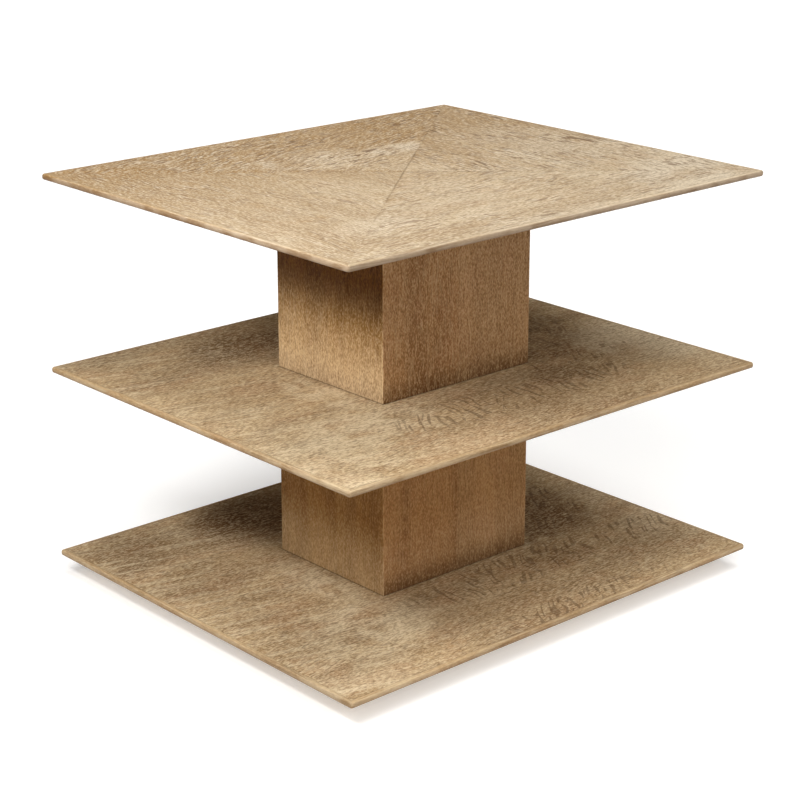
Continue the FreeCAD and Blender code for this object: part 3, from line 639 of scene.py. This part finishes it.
def finish_column():
    """Upright leaves on the faces of both segments: wide in front and behind, narrow beside."""
    # The line at the foot is painted shadow, and the pale corners are partly a painted highlight.
    marks = [(painted_foot_shadow_line, 0.6, "glue"), (column_arris, 0.5, "lime")]
    for i, side in enumerate(SIDES):
        is_wide = side in ("front", "back")
        wood, faces = (WIDE_WOOD, WIDE_FACES) if is_wide else (NARROW_WOOD, NARROW_FACES)
        for j, segment in enumerate(SEGMENTS):
            log_place = (0.23 * i + 0.4 * j, 0.41 * i, 0.13 * i)
            underlays, shadow_tints = faces[segment]
            dress(f"{segment}_column_veneer_{side}", limed_oak(
                f"limed_oak_{segment}_column_{side}", ALONG_Z, log_place, wood,
                SEGMENT_CUTS[segment], underlays, marks, shadow_tints))


# ---------------------------------------------------------------- board, ply, beech, metal, nylon

def fibre_board(name):
    """Medium-density fibreboard, pressed and sanded: even brown felt with pale and dark fibres."""
    material, tree, shader, spot = new_material(name)
    felt = put(tree, "ShaderNodeTexNoise", {}, {
        "Vector": spot, "Scale": 1 / (4 * MM), "Detail": 3.0})
    fibres = put(tree, "ShaderNodeTexNoise", {}, {
        "Vector": spot, "Scale": 1 / (1.2 * MM), "Detail": 2.0, "Distortion": 1.5})
    colour = coats(tree, paint("#a3835a"), [
        (between(tree, felt, 0.45, 0.7), 0.5, paint("#8c6d47")),
        (between(tree, fibres, 0.58, 0.72), 0.5, paint("#c9ae85")),
        (between(tree, fibres, 0.42, 0.3), 0.5, paint("#6f5334"))])
    tree.links.new(colour, shader.inputs["Base Color"])
    roughen(tree, shader, felt, (0.3, 0.7, 0.78, 0.92))
    shader.inputs["IOR"].default_value = 1.45
    relief(tree, shader, fibres, strength=0.3, depth=0.2)
    return material


def birch_plywood(name):
    """Birch plywood, rotary cut: wide watery grain on the face, 1.4 mm plies at the edge."""
    material, tree, shader, spot = new_material(name)
    height = put(tree, "ShaderNodeSeparateXYZ", {}, [spot]).outputs["Z"]
    within_ply = put(tree, MATH, {"operation": "PINGPONG"}, [height, 1.4 * MM])
    figure = streaks(tree, swayed(tree, spot, length=90, reach=14), 260, 22, detail=2.0)
    pores = streaks(tree, spot, 9, 1.4, shift=(5, 1, 2))
    colour = coats(tree, paint("#d3b98e"), [
        (between(tree, figure, 0.45, 0.65), 0.5, paint("#bf9e6e")),
        (between(tree, within_ply, 0.55 * MM, 0.85 * MM), 0.35, paint("#a98455")),
        (between(tree, pores, 0.55, 0.7), 0.4, paint("#a88659"))])
    tree.links.new(colour, shader.inputs["Base Color"])
    roughen(tree, shader, pores, (0.4, 0.7, 0.6, 0.8))
    shader.inputs["IOR"].default_value = 1.5
    relief(tree, shader, pores, strength=0.25, depth=0.2)
    return material


def planed_beech(name):
    """Steamed beech, planed: even pinkish brown with fine short dark flecks along the grain."""
    material, tree, shader, spot = new_material(name)
    place = put(tree, "ShaderNodeMapping", {}, {"Vector": spot, "Rotation": ALONG_Z})
    figure = streaks(tree, place, 120, 8, detail=2.0)
    flecks = streaks(tree, place, 4.5, 1.0, detail=0.5, shift=(2, 6, 1))
    colour = coats(tree, paint("#c39a70"), [
        (between(tree, figure, 0.4, 0.65), 0.45, paint("#b0835a")),
        (between(tree, flecks, 0.6, 0.7), 0.7, paint("#8a5d3b"))])
    tree.links.new(colour, shader.inputs["Base Color"])
    roughen(tree, shader, flecks, (0.4, 0.7, 0.5, 0.68))
    shader.inputs["IOR"].default_value = 1.5
    relief(tree, shader, figure, strength=0.2, depth=0.15)
    return material


def zinc_plate(name):
    """Bright zinc-plated steel, passivated: soft grey shine with a faint straw and blue bloom."""
    material, tree, shader, spot = new_material(name)
    bloom = put(tree, "ShaderNodeTexNoise", {}, {
        "Vector": spot, "Scale": 1 / (9 * MM), "Detail": 2.0})
    spangle = put(tree, "ShaderNodeTexVoronoi", {}, {"Vector": spot, "Scale": 1 / (0.9 * MM)})
    colour = coats(tree, paint("#c6c8c9"), [
        (between(tree, bloom, 0.5, 0.7), 0.5, paint("#cfc4a6")),
        (between(tree, bloom, 0.45, 0.3), 0.5, paint("#aeb9c6"))])
    tree.links.new(colour, shader.inputs["Base Color"])
    shader.inputs["Metallic"].default_value = 1.0
    roughen(tree, shader, spangle, (0.1, 0.8, 0.26, 0.42))
    relief(tree, shader, spangle, strength=0.15, depth=0.05)
    return material


def moulded_nylon(name):
    """Brown nylon, injection moulded: a low waxy sheen on a fine eroded skin, scuffed below."""
    material, tree, shader, spot = new_material(name)
    skin = put(tree, "ShaderNodeTexNoise", {}, {
        "Vector": spot, "Scale": 1 / (0.7 * MM), "Detail": 1.0})
    scuffs = streaks(tree, swayed(tree, spot, length=20, reach=3), 12, 1.0)
    height = put(tree, "ShaderNodeSeparateXYZ", {}, [spot]).outputs["Z"]
    worn = put(tree, MATH, {"operation": "MULTIPLY"}, [
        between(tree, scuffs, 0.52, 0.7), between(tree, height, 0.4 * MM, 2 * MM, 1.0, 0.15)])
    colour = coats(tree, paint("#54493f"), [
        (between(tree, skin, 0.4, 0.7), 0.3, paint("#463c33")),
        (worn, 0.6, paint("#857a6d"))])
    tree.links.new(colour, shader.inputs["Base Color"])
    roughen(tree, shader, skin, (0.3, 0.7, 0.4, 0.55))
    shader.inputs["IOR"].default_value = 1.53
    relief(tree, shader, skin, strength=0.25, depth=0.08)
    return material


def finish_frame(steel, nylon):
    """Finish the boards, plates, blocks and metal that the oak covers."""
    board = fibre_board("fibreboard")
    ply = birch_plywood("birch_plywood")
    beech = planed_beech("steamed_beech")
    for tier in TIERS:
        dress(f"{tier}_core", board)
    for segment in SEGMENTS:
        for side in SIDES:
            dress(f"{segment}_column_panel_{side}", board)
        for node in ("column_bottom_plate", "column_top_plate"):
            dress(f"{segment}_{node}", ply)
        for node in ("column_splines", "corner_blocks"):
            dress(f"{segment}_{node}", beech)
        dress(f"{segment}_plate_screws", steel)
    dress("locating_dowels", beech)
    for node in ("tie_rods", "rod_nuts", "rod_washers", "rod_inserts", "glide_screws"):
        dress(node, steel)
    dress("glides", nylon)


# ---------------------------------------------------------------- turned and threaded fittings

def turned(profile, sides, ring=False, flats=None, thread=None):
    """A turned part on the Z axis, from its radii and heights in millimetres.

    ring closes the profile round a bore, flats cuts the outside to a hexagon of that width, and
    thread is the pitch, the depth, and the heights where a helical thread starts and ends.
    """
    sixth = math.tau / 6
    mesh = bmesh.new()
    rows = []
    for radius, height in profile:
        if radius == 0:
            rows.append([mesh.verts.new((0, 0, height * MM))])
            continue
        row = []
        for i in range(sides):
            angle = math.tau * i / sides
            reach = radius
            if flats:
                off_flat = (angle + sixth / 2) % sixth - sixth / 2
                reach = min(reach, flats / 2 / math.cos(off_flat))
            if thread:
                pitch, depth, start, end = thread
                if start <= height <= end:
                    turn = (height / pitch - angle / math.tau) % 1
                    reach -= depth * abs(2 * turn - 1)
            row.append(mesh.verts.new((
                reach * MM * math.cos(angle), reach * MM * math.sin(angle), height * MM)))
        rows.append(row)
    for low, high in zip(rows, rows[1:] + (rows[:1] if ring else [])):
        for i in range(sides):
            j = (i + 1) % sides
            corners = [low[i % len(low)], low[j % len(low)],
                       high[j % len(high)], high[i % len(high)]]
            mesh.faces.new(list(dict.fromkeys(corners)))
    return mesh


def threaded_rows(radius, low, high, pitch):
    """Rows of a profile close enough together to carry a thread."""
    rows_a_turn = 6
    steps = round((high - low) / pitch * rows_a_turn)
    return [(radius, low + (high - low) * i / steps) for i in range(steps + 1)]


def sink_cross(mesh, head, height, depth):
    """Close a screw's head with a face that has a cross recess sunk into it.

    head is the rim of that face, and the height and depth are in millimetres.
    """
    half_arm, reach, taper = 0.5, 2.1, 0.55
    plan = [(reach, half_arm), (half_arm, half_arm), (half_arm, reach)]
    for _ in range(3):
        plan += [(-y, x) for x, y in plan[-3:]]
    mouth = [mesh.verts.new((x * MM, y * MM, height * MM)) for x, y in plan]
    floor = [mesh.verts.new((x * MM * taper, y * MM * taper, (height + depth) * MM))
             for x, y in plan]
    rims = [mesh.edges.get(ends) or mesh.edges.new(ends)
            for loop in (head, mouth) for ends in zip(loop, loop[1:] + loop[:1])]
    bmesh.ops.triangle_fill(mesh, edges=rims, use_beauty=True)
    for i, j in zip(range(len(plan)), [*range(1, len(plan)), 0]):
        mesh.faces.new([mouth[i], mouth[j], floor[j], floor[i]])
    mesh.faces.new(floor)


def spread_tree():
    """Geometry nodes that repeat one fitting at the four corners of a rectangle."""
    tree = bpy.data.node_groups.new("fitting_at_four_corners", "GeometryNodeTree")
    for name, kind in (("Fitting", "Geometry"), ("Length", "Float"), ("Width", "Float"),
                       ("Finish", "Material")):
        tree.interface.new_socket(name, in_out="INPUT", socket_type=f"NodeSocket{kind}")
    tree.interface.new_socket("Fittings", in_out="OUTPUT", socket_type="NodeSocketGeometry")
    given = put(tree, "NodeGroupInput").outputs
    corners = put(tree, "GeometryNodeMeshGrid", {}, {
        "Size X": given["Length"], "Size Y": given["Width"], "Vertices X": 2, "Vertices Y": 2})
    repeated = put(tree, "GeometryNodeInstanceOnPoints", {}, {
        "Points": corners, "Instance": given["Fitting"]})
    real = put(tree, "GeometryNodeRealizeInstances", {}, [repeated])
    finished = put(tree, "GeometryNodeSetMaterial", {}, {
        "Geometry": real, "Material": given["Finish"]})
    put(tree, "NodeGroupOutput", {}, [finished])
    return tree


def fit_at_corners(tree, name, node, mesh, centre, finish):
    """Repeat a fitting at (+-x, +-y) of a centre in metres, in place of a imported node."""
    bmesh.ops.recalc_face_normals(mesh, faces=mesh.faces)
    shape = bpy.data.meshes.new(name)
    mesh.to_mesh(shape)
    mesh.free()
    piece = bpy.data.objects.new(name, shape)
    bpy.context.scene.collection.objects.link(piece)
    modifier = piece.modifiers.new("spread", "NODES")
    modifier.node_group = tree
    given = {"Length": 2 * centre[0], "Width": 2 * centre[1], "Finish": finish}
    for item in tree.interface.items_tree:
        if item.in_out == "INPUT" and item.name in given:
            modifier[item.identifier] = given[item.name]
    ready = piece.evaluated_get(bpy.context.evaluated_depsgraph_get())
    final = bpy.data.meshes.new_from_object(ready)
    piece.modifiers.clear()
    piece.data = final
    final.polygons.foreach_set("use_smooth", [True] * len(final.polygons))
    final.set_sharp_from_angle(angle=math.radians(32))
    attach(piece, "root")
    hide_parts(node)


def far_centre(node, radius):
    """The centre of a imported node's solid at the far corner, given its radius in millimetres."""
    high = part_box(node)[1]
    return high.x - radius * MM, high.y - radius * MM


def heights(node):
    """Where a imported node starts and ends, in millimetres above the floor."""
    return [level.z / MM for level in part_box(node)]


def glide_profile():
    """A disc with a stepped bore for its screw, a groove round the rim and a rounded foot."""
    bore = [(4.1, 0.35), (4.1, 4.0), (2.1, 6.0), (2.1, 10.0)]
    rim = [(15.0, 10.0), (15.0, 9.2), (14.6, 8.9), (14.6, 8.5), (15.0, 8.2), (15.0, 2.2)]
    foot = [(14.7, 1.2), (14.0, 0.45), (13.0, 0.08), (12.0, 0.0), (5.6, 0.0), (4.6, 0.1)]
    return bore + rim + foot


def make_screw():
    """A countersunk wood screw with a cross recess, threaded beyond its plain neck."""
    sides, pitch, thread_depth, recess_depth = 24, 1.8, 0.55, 1.7
    head, shank, point = 4.0, 2.0, 1.0
    foot, tip = heights("glide_screws")
    thread_start, thread_end = foot + 5.3, tip - 3
    profile = [(head, foot), (head, foot + 0.3), (shank, foot + 2.3), (shank, foot + 5)]
    profile += threaded_rows(shank, thread_start, thread_end, pitch)
    profile += [(point, tip - 1.2), (0, tip)]
    screw = turned(profile, sides, thread=(pitch, thread_depth, thread_start, thread_end))
    sink_cross(screw, list(screw.verts)[:sides], foot, recess_depth)
    return screw


def make_rod():
    """A bright steel rod with eased ends, threaded below for its nut."""
    pitch, thread_depth, full, eased = 1.25, 0.62, 4.0, 3.3
    foot, tip = heights("tie_rods")
    thread_start, thread_end = foot + 0.5, foot + 20.5
    profile = [(0, foot), (eased, foot)]
    profile += threaded_rows(full, thread_start, thread_end, pitch)
    profile += [(full, foot + 21), (full, tip - 0.5), (eased, tip), (0, tip)]
    return turned(profile, sides=24, thread=(pitch, thread_depth, thread_start, thread_end))


def make_nut():
    """A hexagon nut, 13 mm across its flats, chamfered on both faces and in the bore."""
    low, high = heights("rod_nuts")
    bore, mouth, face, corner = 4.1, 4.5, 6.2, 7.5
    return turned([(mouth, low), (face, low), (corner, low + 0.75), (corner, high - 0.75),
                   (face, high), (mouth, high), (bore, high - 0.4), (bore, low + 0.4)],
                  sides=72, ring=True, flats=13)


def make_washer():
    """A washer pressed from sheet, its lower rim rounded by the die and the upper one sharper."""
    low, high = heights("rod_washers")
    bore, rim = 4.1, 11.0
    return turned([(bore, low + 0.15), (4.25, low), (10.7, low), (rim, low + 0.3),
                   (rim, high - 0.1), (10.9, high), (bore, high)], sides=64, ring=True)


def make_fittings(steel, nylon):
    """The glides, screws, rods, nuts and washers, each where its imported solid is."""
    tree = spread_tree()
    glide_centre = far_centre("glides", radius=15)
    rod_centre = far_centre("tie_rods", radius=4)
    fit_at_corners(tree, "glide_discs", "glides", turned(glide_profile(), sides=64, ring=True),
                   glide_centre, nylon)
    for name, node, mesh, centre in (
            ("glide_screws_crosshead", "glide_screws", make_screw(), glide_centre),
            ("tie_rods_threaded", "tie_rods", make_rod(), rod_centre),
            ("rod_nuts_chamfered", "rod_nuts", make_nut(), rod_centre),
            ("rod_washers_pressed", "rod_washers", make_washer(), rod_centre)):
        fit_at_corners(tree, name, node, mesh, centre, steel)


# ---------------------------------------------------------------- camera
# Azimuths are in degrees from straight in front, growing to the right, and distances in metres.
# The camera aims at a height on the table's axis, a little to one side of it. The lens is in
# millimetres, and the shift in widths of the frame.

VIEW_AZIMUTH = -41.834
VIEW_ELEVATION = 17.164
VIEW_DISTANCE = 2.7677
VIEW_AIM_ACROSS = -0.0051
VIEW_AIM_HEIGHT = 0.3366
VIEW_LENS = 93.96
VIEW_SHIFT = -0.08


def direction(azimuth, elevation):
    """The way from the table to a viewer or a lamp."""
    turn, rise = math.radians(azimuth), math.radians(elevation)
    return Vector((math.sin(turn) * math.cos(rise), -math.cos(turn) * math.cos(rise),
                   math.sin(rise)))


def stand(name, data, place=(0, 0, 0), way=None):
    """Put a camera, a lamp or a mesh in the scene, at a place and facing back along a way."""
    piece = bpy.data.objects.new(name, data)
    bpy.context.scene.collection.objects.link(piece)
    piece.location = place
    if way is not None:
        piece.rotation_mode = "QUATERNION"
        piece.rotation_quaternion = way.to_track_quat("Z", "Y")
    return piece


def make_camera():
    """A long lens before the front left corner, a little above the top."""
    lens = bpy.data.cameras.new("camera")
    lens.lens = VIEW_LENS
    lens.sensor_width = 36
    lens.shift_y = VIEW_SHIFT
    turn = math.radians(VIEW_AZIMUTH)
    aim = Vector((math.cos(turn), math.sin(turn), 0)) * VIEW_AIM_ACROSS
    aim.z = VIEW_AIM_HEIGHT
    back = direction(VIEW_AZIMUTH, VIEW_ELEVATION)
    bpy.context.scene.camera = stand("camera", lens, aim + back * VIEW_DISTANCE, back)


# ---------------------------------------------------------------- studio
# The softboxes far off: their azimuth and elevation, the strength that a white card facing them
# would show, and how many degrees wide they look.

SOFTBOXES = {
    "left_softbox": (-55, 38, 0.45, 30),
    "front_softbox": (-5, 32, 0.30, 28),
    "overhead_softbox": (0, 80, 0.55, 32),
    "right_fill": (60, 55, 0.08, 28)}
SKY_STRENGTH = 0.02
LAMP_DISTANCE = 3
FLOOR_REACH = 20
BACKDROP_RADIUS = 32


def far_softbox(name, azimuth, elevation, strength, spread):
    """A large distant light, which shines from the same way all over the table."""
    lamp = bpy.data.lights.new(name, "SUN")
    lamp.energy = strength * math.pi
    lamp.angle = math.radians(spread)
    way = direction(azimuth, elevation)
    stand(name, lamp, way * LAMP_DISTANCE, way)


def side_softbox():
    """A long narrow softbox close to the left end, turned to the column."""
    azimuth, reach, height, power = -82, 0.95, 1.0, 8.4
    lamp = bpy.data.lights.new("side_softbox", "AREA")
    lamp.shape = "RECTANGLE"
    lamp.size, lamp.size_y = 0.7, 0.18
    lamp.energy = power
    place = direction(azimuth, 0) * reach + Vector((0, 0, height))
    column = Vector((0, 0, 0.4))
    stand("side_softbox", lamp, place, (place - column).normalized())


def glowing(name, colour, roughness, glow, strength):
    """A plain studio material that gives off some light of its own."""
    material = bpy.data.materials.new(name)
    material.use_nodes = True
    shader = material.node_tree.nodes["Principled BSDF"]
    shader.inputs["Base Color"].default_value = paint(colour)
    shader.inputs["Roughness"].default_value = roughness
    shader.inputs["Emission Color"].default_value = paint(glow)
    shader.inputs["Emission Strength"].default_value = strength
    return material


def make_floor():
    """A floor of matt white board, rolled with wall paint: even, pale, with soft shadows."""
    corners = [(x * FLOOR_REACH, y * FLOOR_REACH, 0)
               for x, y in ((-1, -1), (1, -1), (1, 1), (-1, 1))]
    mesh = bpy.data.meshes.new("floor")
    mesh.from_pydata(corners, [], [(0, 1, 2, 3)])
    mesh.materials.append(glowing(
        "matt_white_floor", "#e2e1df", roughness=0.9, glow="#ffffff", strength=0.35))
    stand("floor", mesh)


def make_backdrop():
    """A dome of woven white cloth, lit from behind: flat white, and seen by the camera alone."""
    dome = bmesh.new()
    bmesh.ops.create_uvsphere(dome, u_segments=48, v_segments=24, radius=BACKDROP_RADIUS)
    mesh = bpy.data.meshes.new("backdrop")
    dome.to_mesh(mesh)
    dome.free()
    mesh.materials.append(glowing(
        "white_backdrop", "#000000", roughness=0.5, glow="#fdfdfc", strength=1.0))
    backdrop = stand("backdrop", mesh)
    for ray in ("diffuse", "glossy", "transmission", "shadow", "volume_scatter"):
        setattr(backdrop, f"visible_{ray}", False)


def make_studio():
    """A white room with four far softboxes and a near one, shown without a film look."""
    world = bpy.data.worlds.new("studio")
    bpy.context.scene.world = world
    world.use_nodes = True
    sky = world.node_tree.nodes["Background"]
    sky.inputs["Color"].default_value = paint("#ffffff")
    sky.inputs["Strength"].default_value = SKY_STRENGTH
    for name, placing in SOFTBOXES.items():
        far_softbox(name, *placing)
    side_softbox()
    make_floor()
    make_backdrop()
    bpy.context.scene.view_settings.view_transform = "Standard"


# ---------------------------------------------------------------- the whole table

finish_top()
finish_shelves()
finish_column()
steel_finish = zinc_plate("zinc_plated_steel")
nylon_finish = moulded_nylon("moulded_nylon")
finish_frame(steel_finish, nylon_finish)
make_fittings(steel_finish, nylon_finish)
make_camera()
make_studio()
